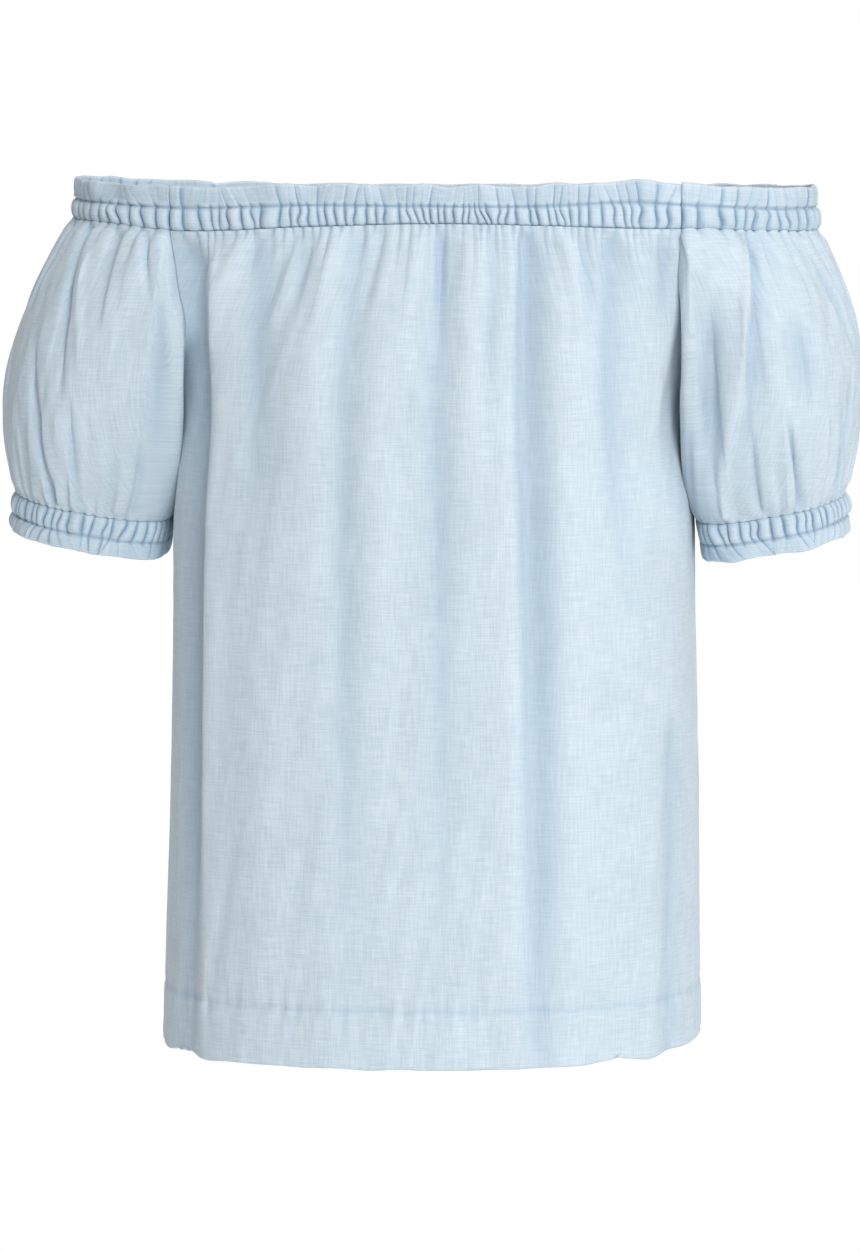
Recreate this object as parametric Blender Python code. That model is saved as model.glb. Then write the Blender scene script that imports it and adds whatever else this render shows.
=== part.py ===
"""An off-shoulder blouse with short puffed sleeves, filled out as if worn, modelled in metres with +Z up.

The origin is the middle of the neck opening, at half the height of its elastic casing.
The front faces -Y. Left and right are the wearer's, so the left sleeve is at +X.
"""

import math
from collections import namedtuple

import bpy
import numpy as np

# Cloth and seams
CLOTH = 0.0012
CASING_CLOTH = 0.0022
HEM_CLOTH = 0.0022
SEAM_GAP = 0.0003
HEM_DEPTH = 0.032
STITCH_STEP = 0.0012

# Neck opening: a soft oval round the upper chest and the outside of both arms
CASING_HEIGHT = 0.013
HEADING_HEIGHT = 0.0108
NECK_GATHERS = {"front": 34, "back": 34, "side": 18}
NECK_GATHER_RISE = 0.0016
HEADING_FLUTE = 0.0026
GATHERS_PER_FLUTE = 2

# The right shoulder of the neck casing sits this much higher, as the blouse hangs a little unevenly
RIGHT_SHOULDER_RISE = 0.005

# Cuffs. Their middle is the point halfway between them.
CUFF_MIDDLE = -0.0066
CUFF_OUT = 0.1982
CUFF_HEIGHT = -0.1720
CUFF_HALF_WIDTH = 0.0430
CUFF_HALF_DEPTH = 0.0475
CUFF_TILT_OUT = math.radians(9.5)
CUFF_TILT_FRONT = math.radians(5.5)
CUFF_FRILL_HEIGHT = 0.0088
CUFF_GATHERS = 28
CUFF_GATHER_RISE = 0.0014
CUFF_FLUTE = 0.0020

COLUMNS_PER_GATHER = 3
PANEL_COLUMNS = 42
# A panel's columns start from even angles out to this one, and bend towards its edges to meet the seams
EVEN_ANGLE = math.radians(68)
RAGLAN_ROWS = 7
STRAIGHT_ROWS = 7
SLEEVE_ROWS = 10
SLEEVE_TOP_COLUMNS = 20

UNDERARM = -0.094
HEM = -0.4725
CASING_FOOT = -CASING_HEIGHT / 2
PANEL_TOP = CASING_FOOT - SEAM_GAP

# Level sections of the body, from the foot of the neck casing down to the hem. Across is how far the
# middle of the section stands from the middle of the neck opening.
Section = namedtuple("Section", "height across half_width front back squareness")
BODY = (
    Section(PANEL_TOP, 0.0000, 0.2150, 0.1130, 0.1080, 2.20),
    Section(-0.030, -0.0015, 0.1900, 0.1180, 0.1120, 2.30),
    Section(-0.060, -0.0040, 0.1655, 0.1230, 0.1150, 2.45),
    Section(UNDERARM, -0.0055, 0.1500, 0.1265, 0.1170, 2.60),
    Section(-0.180, -0.0055, 0.1498, 0.1290, 0.1190, 2.70),
    Section(-0.330, -0.0055, 0.1520, 0.1300, 0.1210, 2.65),
    Section(HEM, -0.0070, 0.1555, 0.1300, 0.1230, 2.50),
)
# The hem's edge curls up a little at the side seams
HEM_SIDE_RISE = 0.008

# How far the raglan seams stand from the middle of the section, and how far the two front ones sway
# to the left together
RaglanPoint = namedtuple("RaglanPoint", "height out front_sway")
RAGLAN = (
    RaglanPoint(PANEL_TOP, 0.1435, -0.0050),
    RaglanPoint(-0.036, 0.1405, -0.0020),
    RaglanPoint(-0.068, 0.1430, 0.0000),
    RaglanPoint(UNDERARM, 0.1500, 0.0000),
)

# Soft folds that hang from the neck gathers. Angles are round the body, 0 at the middle of the panel
# and growing towards its own right-hand edge as seen from outside. A negative depth is a ridge.
Fold = namedtuple("Fold", "top_angle low_angle width depth start end")
FRONT_FOLDS = (
    Fold(-54, -56, 0.016, 0.0060, -0.010, -0.440),
    Fold(-45, -46, 0.013, -0.0050, -0.020, -0.400),
    Fold(-35, -37, 0.012, 0.0030, -0.007, -0.110),
    Fold(-22, -22, 0.014, 0.0040, -0.007, -0.300),
    Fold(-12, -12, 0.014, -0.0025, -0.007, -0.200),
    Fold(2, 1, 0.012, 0.0045, -0.007, -0.160),
    Fold(14, 13, 0.013, 0.0030, -0.007, -0.140),
    Fold(21, 21, 0.014, -0.0030, -0.010, -0.300),
    Fold(28, 28, 0.014, 0.0065, -0.010, -0.400),
    Fold(41, 43, 0.012, 0.0035, -0.007, -0.130),
    Fold(51, 56, 0.013, 0.0045, -0.007, -0.090),
)
BACK_FOLDS = (
    Fold(-53, -58, 0.014, 0.0045, -0.007, -0.240),
    Fold(-40, -42, 0.014, 0.0040, -0.007, -0.420),
    Fold(-31, -31, 0.014, -0.0030, -0.010, -0.300),
    Fold(-20, -21, 0.013, 0.0045, -0.007, -0.180),
    Fold(-8, -8, 0.014, 0.0040, -0.007, -0.360),
    Fold(1, 1, 0.014, -0.0030, -0.010, -0.240),
    Fold(11, 10, 0.013, 0.0045, -0.007, -0.260),
    Fold(24, 25, 0.014, 0.0055, -0.007, -0.400),
    Fold(36, 37, 0.013, 0.0030, -0.007, -0.140),
    Fold(50, 55, 0.014, 0.0045, -0.007, -0.200),
)

# Folds of a sleeve run from the neck casing (down 0) to the cuff (down 1). Round is the share of the
# way round, from the front seam over the outside to the back seam and under the arm.
SleeveFold = namedtuple("SleeveFold", "round lean width depth start end")
SLEEVE_FOLDS = (
    SleeveFold(0.045, 0.000, 0.022, 0.0040, 0.00, 0.75),
    SleeveFold(0.105, -0.010, 0.022, 0.0050, 0.35, 1.05),
    SleeveFold(0.160, 0.015, 0.024, 0.0055, -0.05, 0.60),
    SleeveFold(0.215, 0.010, 0.022, 0.0045, 0.45, 1.05),
    SleeveFold(0.290, 0.000, 0.024, 0.0045, -0.05, 0.50),
    SleeveFold(0.345, -0.010, 0.022, 0.0045, 0.50, 1.05),
    SleeveFold(0.400, 0.000, 0.024, 0.0045, -0.05, 0.65),
    SleeveFold(0.470, 0.000, 0.022, 0.0040, 0.40, 1.05),
)

# How a sleeve leaves its top edge and reaches its cuff, in metres of pull along each direction.
# Angles go round the arm: 0 front, 90 outside, 180 back, 270 next to the body.
Pull = namedtuple("Pull", "angle leave_out leave_down reach_in reach_down")
SLEEVE_PULLS = (
    Pull(-28, 0.070, 0.080, 0.080, 0.120),
    Pull(20, 0.095, 0.100, 0.105, 0.140),
    Pull(90, 0.092, 0.120, 0.072, 0.170),
    Pull(160, 0.095, 0.100, 0.105, 0.140),
    Pull(208, 0.070, 0.080, 0.080, 0.120),
    Pull(240, 0.040, 0.060, 0.025, 0.070),
    Pull(270, 0.004, 0.050, 0.000, 0.050),
    Pull(300, 0.040, 0.060, 0.025, 0.070),
    Pull(332, 0.070, 0.080, 0.080, 0.120),
)
FRONT_CORNER_ANGLE = -28
BACK_CORNER_ANGLE = 208

CHAMBRAY = (0.55, 0.65, 0.72, 1.0)
CHAMBRAY_ROUGHNESS = 0.85


def smooth(rows, column, at, key="height"):
    """A column of a table, read on a smooth curve through its rows at one or many places."""
    place = np.array([getattr(row, key) for row in rows], float)
    value = np.array([getattr(row, column) for row in rows], float)
    if place[0] > place[-1]:
        place, value = place[::-1], value[::-1]
    slope = np.gradient(value, place)
    at = np.clip(np.asarray(at, float), place[0], place[-1])
    i = np.clip(np.searchsorted(place, at) - 1, 0, len(place) - 2)
    step = place[i + 1] - place[i]
    t = (at - place[i]) / step
    return (
        (2 * t**3 - 3 * t**2 + 1) * value[i]
        + (t**3 - 2 * t**2 + t) * step * slope[i]
        + (3 * t**2 - 2 * t**3) * value[i + 1]
        + (t**3 - t**2) * step * slope[i + 1]
    )


def ease(t):
    """0 to 1 with level ends."""
    t = np.clip(t, 0, 1)
    return t * t * (3 - 2 * t)


def body_point(angle, height, out=0.0, side=1):
    """A point of the body's section at this height. The angle is 0 at the middle front and 90 degrees at +X.

    With side -1 it is the mirrored body, from which the right sleeve is made and then mirrored back.
    """
    half_width = smooth(BODY, "half_width", height)
    front = smooth(BODY, "front", height)
    back = smooth(BODY, "back", height)
    n = smooth(BODY, "squareness", height)
    depth = np.where(np.cos(angle) > 0, front, back)
    radius = (np.abs(np.sin(angle) / half_width) ** n + np.abs(np.cos(angle) / depth) ** n) ** (-1 / n)
    radius = radius + out
    across = side * smooth(BODY, "across", height)
    return np.stack([across + radius * np.sin(angle), -radius * np.cos(angle), height + 0 * angle], axis=-1)


def level_normal(angle, height):
    """The body's outward direction in plan."""
    step = 0.01
    along = body_point(angle + step, height) - body_point(angle - step, height)
    normal = np.stack([along[..., 1], -along[..., 0], 0 * along[..., 0]], axis=-1)
    return normal / np.linalg.norm(normal, axis=-1, keepdims=True)


def raglan_angle(height, panel, side):
    """Angle from the middle of the front or back panel to its raglan seam on this side, 1 at +X and -1 at -X."""
    half_width = smooth(BODY, "half_width", height)
    n = smooth(BODY, "squareness", height)
    depth = smooth(BODY, panel, height)
    out = smooth(RAGLAN, "out", height)
    if panel == "front":
        out = out + side * smooth(RAGLAN, "front_sway", height)
    share = np.clip(out / half_width, 0, 1)
    share = np.where(height <= UNDERARM, 1.0, share)
    deep = depth * (1 - share**n) ** (1 / n)
    return np.arctan2(share * half_width, deep)


def raglan_heights():
    """Heights of the panel rows beside the raglan seam, closer together towards the underarm."""
    share = np.linspace(0, 1, RAGLAN_ROWS + 1)
    return PANEL_TOP + (UNDERARM - PANEL_TOP) * (1 - (1 - share) ** 2)


def raglan_normal(height, panel, side, piece):
    """Outward direction at the raglan seam: level at the neck, and slanting down at the underarm.

    There the body's cloth (piece 1) faces outwards, and the sleeve's (piece -1) faces back to the body.
    """
    angle = raglan_angle(height, panel, side)
    if panel == "back":
        angle = math.pi - angle
    level = level_normal(angle, height)
    turn = ease((PANEL_TOP - height) / (PANEL_TOP - UNDERARM)) ** 1.5
    normal = level * (1 - turn)[..., None] + np.array([0.7 * piece, 0, -0.7]) * turn[..., None]
    return normal / np.linalg.norm(normal, axis=-1, keepdims=True)


def shoulder_rise(share, side):
    """How much higher the neck casing sits over a shoulder. The share runs from one raglan seam to the other."""
    return (RIGHT_SHOULDER_RISE if side < 0 else 0.0) * np.sin(math.pi * share) ** 2


def fold_out(folds, angle, height):
    """How far the folds move a panel's surface outwards. The angle is from the middle of the panel."""
    out = np.zeros(np.broadcast(angle, height).shape)
    for fold in folds:
        share = np.clip((PANEL_TOP - height) / (PANEL_TOP - HEM), 0, 1)
        middle = np.radians(fold.top_angle + (fold.low_angle - fold.top_angle) * share)
        radius = 0.5 * (smooth(BODY, "half_width", height) + smooth(BODY, "front", height))
        across = (angle - middle) * radius / fold.width
        length = fold.start - fold.end
        below = (fold.start - height) / length
        strength = ease(below / 0.18 + 0.25) * (1 - ease((below - 0.45) / 0.55))
        out -= fold.depth * np.exp(-(across**2)) * strength
    return out


def surface_normals(grid, closed):
    """Outward unit normals of a grid whose columns go left to right and rows top to bottom, seen from outside."""
    if closed:
        right = np.roll(grid, -1, axis=1) - np.roll(grid, 1, axis=1)
    else:
        right = np.gradient(grid, axis=1)
    down = np.gradient(grid, axis=0)
    normal = np.cross(down, right)
    return normal / np.linalg.norm(normal, axis=-1, keepdims=True)


def make_wall(name, outer, inner, closed=False, material=None):
    """A closed solid between an outer and an inner grid of points, as one object."""
    rows, columns = outer.shape[:2]
    points = np.concatenate([outer.reshape(-1, 3), inner.reshape(-1, 3)])
    inside = rows * columns

    def at(row, column):
        return row * columns + column % columns

    faces = []
    spans = columns if closed else columns - 1
    for column in range(spans):
        for row in range(rows - 1):
            corners = (at(row, column), at(row + 1, column), at(row + 1, column + 1), at(row, column + 1))
            faces.append(corners)
            faces.append(tuple(inside + corner for corner in reversed(corners)))
        top = (at(0, column), at(0, column + 1))
        foot = (at(rows - 1, column), at(rows - 1, column + 1))
        faces.append((top[0], top[1], inside + top[1], inside + top[0]))
        faces.append((foot[1], foot[0], inside + foot[0], inside + foot[1]))
    if not closed:
        for row in range(rows - 1):
            left = (at(row, 0), at(row + 1, 0))
            right = (at(row, columns - 1), at(row + 1, columns - 1))
            faces.append((left[1], left[0], inside + left[0], inside + left[1]))
            faces.append((right[0], right[1], inside + right[1], inside + right[0]))
    mesh = bpy.data.meshes.new(name)
    mesh.from_pydata([tuple(map(float, p)) for p in points], [], faces)
    mesh.shade_smooth()
    mesh.set_sharp_from_angle(angle=math.radians(50))
    mesh.materials.append(material)
    made = bpy.data.objects.new(name, mesh)
    bpy.context.scene.collection.objects.link(made)
    return made


def chambray(name, shade=1.0):
    """Soft, dry, light blue cotton with white crossing threads."""
    material = bpy.data.materials.new(name)
    material.use_nodes = True
    surface = material.node_tree.nodes["Principled BSDF"]
    surface.inputs["Base Color"].default_value = [c * shade for c in CHAMBRAY[:3]] + [1.0]
    surface.inputs["Roughness"].default_value = CHAMBRAY_ROUGHNESS
    surface.inputs["Metallic"].default_value = 0.0
    return material


def panel_rows():
    """Heights of a body panel's rows, at its edges and in its middle: raglan part, straight part, turned-up hem."""
    hem_stitch = HEM + HEM_DEPTH
    straight = np.linspace(UNDERARM, hem_stitch + STITCH_STEP, STRAIGHT_ROWS + 1)[1:]
    low = np.concatenate([straight, [hem_stitch - STITCH_STEP, HEM]])
    even = np.linspace(PANEL_TOP, UNDERARM, RAGLAN_ROWS + 1)
    return np.concatenate([raglan_heights(), low])[:, None], np.concatenate([even, low])[:, None]


def make_panel(name, panel, folds, material):
    """Front or back: one width of cloth between the raglan seams, then between the side seams, hemmed at the foot."""
    middle = 0.0 if panel == "front" else math.pi
    start_side = -1 if panel == "front" else 1
    seam_heights, middle_heights = panel_rows()
    share = np.linspace(-1, 1, PANEL_COLUMNS + 1)[None, :]
    near_seam = share**4
    inset = (SEAM_GAP / 2) / smooth(BODY, "half_width", seam_heights)
    start = raglan_angle(seam_heights, panel, start_side) - inset
    end = raglan_angle(seam_heights, panel, -start_side) - inset
    edge = np.where(share < 0, start, end)
    angle = share * EVEN_ANGLE + share * np.abs(share) * (edge - EVEN_ANGLE)
    heights = middle_heights + (seam_heights - middle_heights) * near_seam
    outer = body_point(middle + angle, heights, fold_out(folds, angle, heights))
    low = np.clip((HEM + 2 * HEM_DEPTH - heights) / (2 * HEM_DEPTH), 0, 1)
    outer[..., 2] += HEM_SIDE_RISE * low**2 * np.abs(share) ** 6
    thick = np.where(heights < HEM + HEM_DEPTH, HEM_CLOTH, CLOTH)[..., None]
    normal = surface_normals(outer, False)
    seam_height = seam_heights[:, 0]
    beside_raglan = seam_height >= UNDERARM
    first = raglan_normal(seam_height, panel, start_side, 1) * np.array([start_side, 1, 1])
    last = raglan_normal(seam_height, panel, -start_side, 1) * np.array([-start_side, 1, 1])
    sideways = np.array([start_side, 0.0, 0.0])
    normal[:, 0] = np.where(beside_raglan[:, None], first, sideways)
    normal[:, -1] = np.where(beside_raglan[:, None], last, -sideways)
    normal[0] = level_normal(middle + angle[0], heights[0])
    normal[0, 0], normal[0, -1] = first[0], last[0]
    inner = outer - thick * normal
    inner[0, :, 2] = outer[0, :, 2]
    inner[-1, :, 2] = outer[-1, :, 2]
    return make_wall(name, outer, inner, material=material)


def gather_shares(count, seed):
    """Where gathers begin along a band, from 0 to 1, unevenly spaced."""
    width = np.array([1 + 0.28 * math.sin(2.4 * i + seed) + 0.16 * math.sin(5.3 * i + 2 * seed) for i in range(count)])
    return np.concatenate([[0], np.cumsum(width) / width.sum()])


def gathered_columns(count, seed):
    """Places along a band and how far each stands out, from 0 in a crease to 1 on a gather."""
    starts = gather_shares(count, seed)
    places, rises = [], []
    for i in range(count):
        for step in range(COLUMNS_PER_GATHER):
            share = (step + (0.15 if step else 0.0)) / COLUMNS_PER_GATHER
            places.append(starts[i] + (starts[i + 1] - starts[i]) * share)
            rises.append(0.0 if step == 0 else 1.0 - 0.25 * (step - 1))
    return np.array(places), np.array(rises)


# Rows of a gathered band: height in parts of the casing (0 to 1) and of the frill beyond it (1 to 2),
# how strongly the gathers and the frill's flutes show there, and how far the cloth leans outwards
BandRow = namedtuple("BandRow", "along gather flute lean")
BAND = (
    BandRow(2.00, 0.25, 1.00, 0.0006),
    BandRow(1.00, 0.30, 0.10, 0.0000),
    BandRow(0.50, 1.00, 0.00, 0.0000),
    BandRow(0.00, 0.30, 0.00, 0.0000),
)


def band_grid(place, casing, frill, rise, flute, places, rises, phase):
    """Outer and inner points of a gathered band. place(share, out, height) gives a point of the band."""
    outer, inner = [], []
    turns = 2 * math.pi * np.arange(len(places)) / (COLUMNS_PER_GATHER * GATHERS_PER_FLUTE)
    waves = np.sin(turns + phase) + 0.35 * np.sin(0.43 * turns + 2 * phase)
    for row in BAND:
        height = casing * (min(row.along, 1.0) - 0.5) + frill * max(row.along - 1.0, 0.0)
        base = row.lean + flute * row.flute * waves
        dip = 0.0012 * row.flute * np.cos(turns + phase)
        outer.append(place(places, base + rise * row.gather * rises, height + dip))
        inner.append(place(places, base - CASING_CLOTH + rise * 0.5, height + dip))
    return np.array(outer), np.array(inner)


def make_neck_casing(name, start_angle, end_angle, gathers, seed, material, side):
    """One length of the neck's elastic casing with its standing frill, between two raglan seams."""
    places, rises = gathered_columns(gathers, seed)
    places, rises = np.append(places, 1.0), np.append(rises, 0.0)
    inset = (SEAM_GAP / 2) / smooth(BODY, "half_width", PANEL_TOP)
    first, last = start_angle + inset, end_angle - inset

    def place(share, out, height):
        angle = first + (last - first) * share
        flat = body_point(angle, PANEL_TOP + 0 * angle)
        flat = flat + level_normal(angle, PANEL_TOP + 0 * angle) * np.asarray(out)[:, None]
        flat[:, 2] = height + shoulder_rise(share, side)
        return flat

    outer, inner = band_grid(
        place, CASING_HEIGHT, HEADING_HEIGHT, NECK_GATHER_RISE, HEADING_FLUTE, places, rises, seed
    )
    return make_wall(name, outer, inner, material=material)


def cuff_frame(side):
    """Centre and axes of a cuff: across (outwards), back, and up the arm. side is 1 at +X and -1 at -X."""
    across = np.array([math.cos(CUFF_TILT_OUT), 0, math.sin(CUFF_TILT_OUT)])
    back = np.array([0, math.cos(CUFF_TILT_FRONT), math.sin(CUFF_TILT_FRONT)])
    up = np.cross(across, back)
    up = up / np.linalg.norm(up)
    mirror = np.array([side, 1, 1])
    centre = np.array([CUFF_MIDDLE + side * CUFF_OUT, 0, CUFF_HEIGHT])
    return centre, across * mirror, back, up * mirror


def cuff_point(angle, out, height, side):
    """A point of the cuff ring. The angle goes round the arm: 0 front, 90 degrees outside."""
    centre, across, back, up = cuff_frame(side)
    wide = (CUFF_HALF_WIDTH + out) * np.sin(angle)
    deep = -(CUFF_HALF_DEPTH + out) * np.cos(angle)
    height = height + 0 * angle
    return centre + wide[..., None] * across + deep[..., None] * back + height[..., None] * up


def make_cuff(name, side, seed, material):
    """A sleeve's elastic casing with the frill below it, as one closed ring."""
    places, rises = gathered_columns(CUFF_GATHERS, seed)

    def place(share, out, height):
        angle = 2 * math.pi * share
        return cuff_point(angle, np.asarray(out), -np.asarray(height), side)

    outer, inner = band_grid(
        place, CASING_HEIGHT, CUFF_FRILL_HEIGHT, CUFF_GATHER_RISE, CUFF_FLUTE, places, rises, seed
    )
    outer, inner = outer[::-1], inner[::-1]
    if side < 0:
        outer, inner = outer[:, ::-1], inner[:, ::-1]
    return make_wall(name, outer, inner, closed=True, material=material)


def sleeve_start(side):
    """A sleeve's top edge as a loop: under the neck casing from front to back, then round the armhole.

    Returns its points, outward directions, and the angle round the cuff that each one falls to.
    """
    heights = raglan_heights()
    front_angle = raglan_angle(heights, "front", side)
    back_angle = math.pi - raglan_angle(heights, "back", side)
    front = body_point(front_angle, heights, side=side)
    back = body_point(back_angle, heights, side=side)
    front_normal = raglan_normal(heights, "front", side, -1)
    back_normal = raglan_normal(heights, "back", side, -1)
    angle = np.linspace(front_angle[0], back_angle[0], SLEEVE_TOP_COLUMNS + 1)
    top = body_point(angle, PANEL_TOP + 0 * angle, side=side)
    top[:, 2] += shoulder_rise(np.linspace(0, 1, SLEEVE_TOP_COLUMNS + 1), side)
    top_normal = level_normal(angle, PANEL_TOP + 0 * angle)
    clear = np.array([SEAM_GAP, 0, 0])
    points = np.concatenate([top[:-1], back[:-1], front[::-1][:-1]]) + clear
    normals = np.concatenate([top_normal[:-1], back_normal[:-1], front_normal[::-1][:-1]])
    over = np.linspace(FRONT_CORNER_ANGLE, BACK_CORNER_ANGLE, SLEEVE_TOP_COLUMNS + 1)[:-1]
    under = np.linspace(BACK_CORNER_ANGLE, 360 + FRONT_CORNER_ANGLE, 2 * RAGLAN_ROWS + 1)[:-1]
    return points, normals, np.concatenate([over, under])


def sleeve_fold_out(round_share, down):
    """How far the sleeve's folds move its surface outwards."""
    out = np.zeros(np.broadcast(round_share, down).shape)
    for fold in SLEEVE_FOLDS:
        middle = fold.round + fold.lean * down
        below = (down - fold.start) / (fold.end - fold.start)
        strength = ease(below / 0.25) * (1 - ease((below - 0.6) / 0.4))
        if fold.start < 0:
            strength = 1 - ease((below - 0.3) / 0.7)
        if fold.end > 1:
            strength = ease(below / 0.7)
        out -= fold.depth * np.exp(-(((round_share - middle) / fold.width) ** 2)) * strength
    return out


def make_sleeve(name, side, material):
    """A puffed sleeve: one width of cloth from the casing and the armhole to the cuff, closed under the arm."""
    start, start_normal, angles = sleeve_start(side)
    turn = np.radians(angles)
    mirror = np.array([side, 1, 1])
    end = cuff_point(turn, 0.0, CASING_HEIGHT / 2 + SEAM_GAP, side) * mirror
    end_normal = end - cuff_point(turn, -0.01, CASING_HEIGHT / 2 + SEAM_GAP, side) * mirror
    end_normal = end_normal / np.linalg.norm(end_normal, axis=-1, keepdims=True)
    down_arm = -cuff_frame(1)[3]
    level = start_normal * np.array([1, 1, 0])
    armhole = angles > BACK_CORNER_ANGLE
    outwards = np.stack([np.sin(turn), -np.cos(turn), 0 * turn], axis=-1)
    sideways = outwards * np.array([0, 1, 0]) + np.array([1.0, 0, 0])
    level = np.where(armhole[:, None], sideways, level)
    pull = {key: smooth(SLEEVE_PULLS, key, angles, "angle")[:, None] for key in Pull._fields[1:]}
    leave = level * pull["leave_out"] - np.array([0, 0, 1.0]) * pull["leave_down"]
    reach = -end_normal * pull["reach_in"] + down_arm * pull["reach_down"]
    down = np.linspace(0, 1, SLEEVE_ROWS + 1)[:, None, None]
    outer = (
        (2 * down**3 - 3 * down**2 + 1) * start
        + (down**3 - 2 * down**2 + down) * leave
        + (3 * down**2 - 2 * down**3) * end
        + (down**3 - down**2) * reach
    )
    round_share = np.arange(len(angles))[None, :] / len(angles)
    folds = sleeve_fold_out(round_share, down[:, :, 0])
    outer = outer + folds[..., None] * surface_normals(outer, True) * np.sin(np.pi * down) ** 0.35
    normal = surface_normals(outer, True)
    normal[0] = start_normal
    normal[-1] = end_normal
    inner = outer - CLOTH * normal
    inner[0, :, 2] = np.where(armhole, inner[0, :, 2], outer[0, :, 2])
    if side < 0:
        outer, inner = (grid[:, ::-1] * mirror for grid in (outer, inner))
    return make_wall(name, outer, inner, closed=True, material=material)


def main():
    for old in list(bpy.data.objects):
        bpy.data.objects.remove(old)
    body_cloth = chambray("chambray_panels")
    sleeve_cloth = chambray("chambray_sleeves", 0.98)
    casing_cloth = chambray("chambray_casings", 0.95)
    make_panel("front_panel", "front", FRONT_FOLDS, body_cloth)
    make_panel("back_panel", "back", BACK_FOLDS, body_cloth)
    make_sleeve("sleeve_left", 1, sleeve_cloth)
    make_sleeve("sleeve_right", -1, sleeve_cloth)
    make_cuff("cuff_casing_left", 1, 0.7, casing_cloth)
    make_cuff("cuff_casing_right", -1, 2.1, casing_cloth)
    front_right, front_left = (raglan_angle(PANEL_TOP, "front", side) for side in (-1, 1))
    back_right, back_left = (raglan_angle(PANEL_TOP, "back", side) for side in (-1, 1))
    turn = 2 * math.pi
    lengths = (
        ("front", -front_right, front_left, NECK_GATHERS["front"], 0.3, 0),
        ("left", front_left, math.pi - back_left, NECK_GATHERS["side"], 1.1, 1),
        ("back", math.pi - back_left, math.pi + back_right, NECK_GATHERS["back"], 1.9, 0),
        ("right", math.pi + back_right, turn - front_right, NECK_GATHERS["side"], 2.7, -1),
    )
    for place, start, end, gathers, seed, side in lengths:
        make_neck_casing("neck_casing_" + place, start, end, gathers, seed, casing_cloth, side)


main()
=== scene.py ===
"""Looks of the off-shoulder blouse: light blue chambray, gathered on elastic at the neck and the cuffs.

Metres, +Z up, the front faces -Y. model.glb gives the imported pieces, and every cloth piece here stands for
one of them.
"""

import math
from collections import namedtuple

import bpy
import numpy as np
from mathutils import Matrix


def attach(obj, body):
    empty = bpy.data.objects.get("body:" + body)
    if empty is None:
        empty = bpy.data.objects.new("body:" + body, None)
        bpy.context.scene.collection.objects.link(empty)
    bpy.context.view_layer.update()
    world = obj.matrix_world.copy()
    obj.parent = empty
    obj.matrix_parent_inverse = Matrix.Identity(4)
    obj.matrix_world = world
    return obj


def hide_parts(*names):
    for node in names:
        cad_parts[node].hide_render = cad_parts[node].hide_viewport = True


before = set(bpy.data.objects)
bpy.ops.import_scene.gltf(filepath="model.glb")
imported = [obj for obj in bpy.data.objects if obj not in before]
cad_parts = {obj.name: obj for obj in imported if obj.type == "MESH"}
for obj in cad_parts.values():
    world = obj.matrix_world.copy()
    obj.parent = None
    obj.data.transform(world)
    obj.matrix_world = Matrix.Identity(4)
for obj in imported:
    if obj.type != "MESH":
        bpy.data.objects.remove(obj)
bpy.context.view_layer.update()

# The camera stands three metres off at the height of the neck and a few degrees to the wearer's left,
# with a long lens that is tipped down to the middle of the blouse.
CAMERA_DISTANCE = 3.0
CAMERA_TURN = math.radians(4.0)
CAMERA_AIM = (-0.0084, 0.0, -0.2372)
CAMERA_LENS_MM = 149.5

camera_data = bpy.data.cameras.new("camera")
camera_data.lens = CAMERA_LENS_MM
camera_data.sensor_width = 36
camera_data.clip_end = 50
camera = bpy.data.objects.new("camera", camera_data)
camera.location = (
    CAMERA_DISTANCE * math.sin(CAMERA_TURN),
    -CAMERA_DISTANCE * math.cos(CAMERA_TURN),
    0.0,
)
aim_x, aim_y, aim_z = (aim - stand for aim, stand in zip(CAMERA_AIM, camera.location))
camera.rotation_euler = (
    math.atan2(math.hypot(aim_x, aim_y), -aim_z),
    0,
    math.atan2(-aim_x, aim_y),
)
bpy.context.scene.collection.objects.link(camera)
bpy.context.scene.camera = camera

# Front and back panels. Each is one width of light chambray, a plain weave of blue warp and white weft,
# cut between the raglan seams. It is gathered under the neck casing, closed at the side seams, and its
# foot is turned up 32 mm to the inside and stitched.
CLOTH = 0.0006
SEAM_GAP = 0.0003
CASING_HEIGHT = 0.013
PANEL_TOP = -CASING_HEIGHT / 2 - SEAM_GAP
UNDERARM = -0.094
HEM = -0.4750
HEM_DEPTH = 0.032
HEM_SIDE_RISE = 0.004
HEM_LEFT_RISE = 0.003
EVEN_ANGLE = math.radians(68)

Section = namedtuple("Section", "height across half_width front back squareness")
BODY = (
    Section(PANEL_TOP, 0.0000, 0.2132, 0.1130, 0.1080, 2.20),
    Section(-0.030, -0.0015, 0.1900, 0.1180, 0.1120, 2.30),
    Section(-0.060, -0.0040, 0.1655, 0.1230, 0.1150, 2.45),
    Section(UNDERARM, -0.0055, 0.1500, 0.1265, 0.1170, 2.60),
    Section(-0.180, -0.0055, 0.1498, 0.1290, 0.1190, 2.70),
    Section(-0.330, -0.0055, 0.1520, 0.1300, 0.1210, 2.65),
    Section(HEM, -0.0070, 0.1555, 0.1300, 0.1230, 2.50),
)
RaglanPoint = namedtuple("RaglanPoint", "height out front_sway")
RAGLAN = (
    RaglanPoint(PANEL_TOP, 0.1435, -0.0050),
    RaglanPoint(-0.036, 0.1405, -0.0020),
    RaglanPoint(-0.068, 0.1413, 0.0043),
    RaglanPoint(UNDERARM, 0.1500, 0.0000),
)
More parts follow.
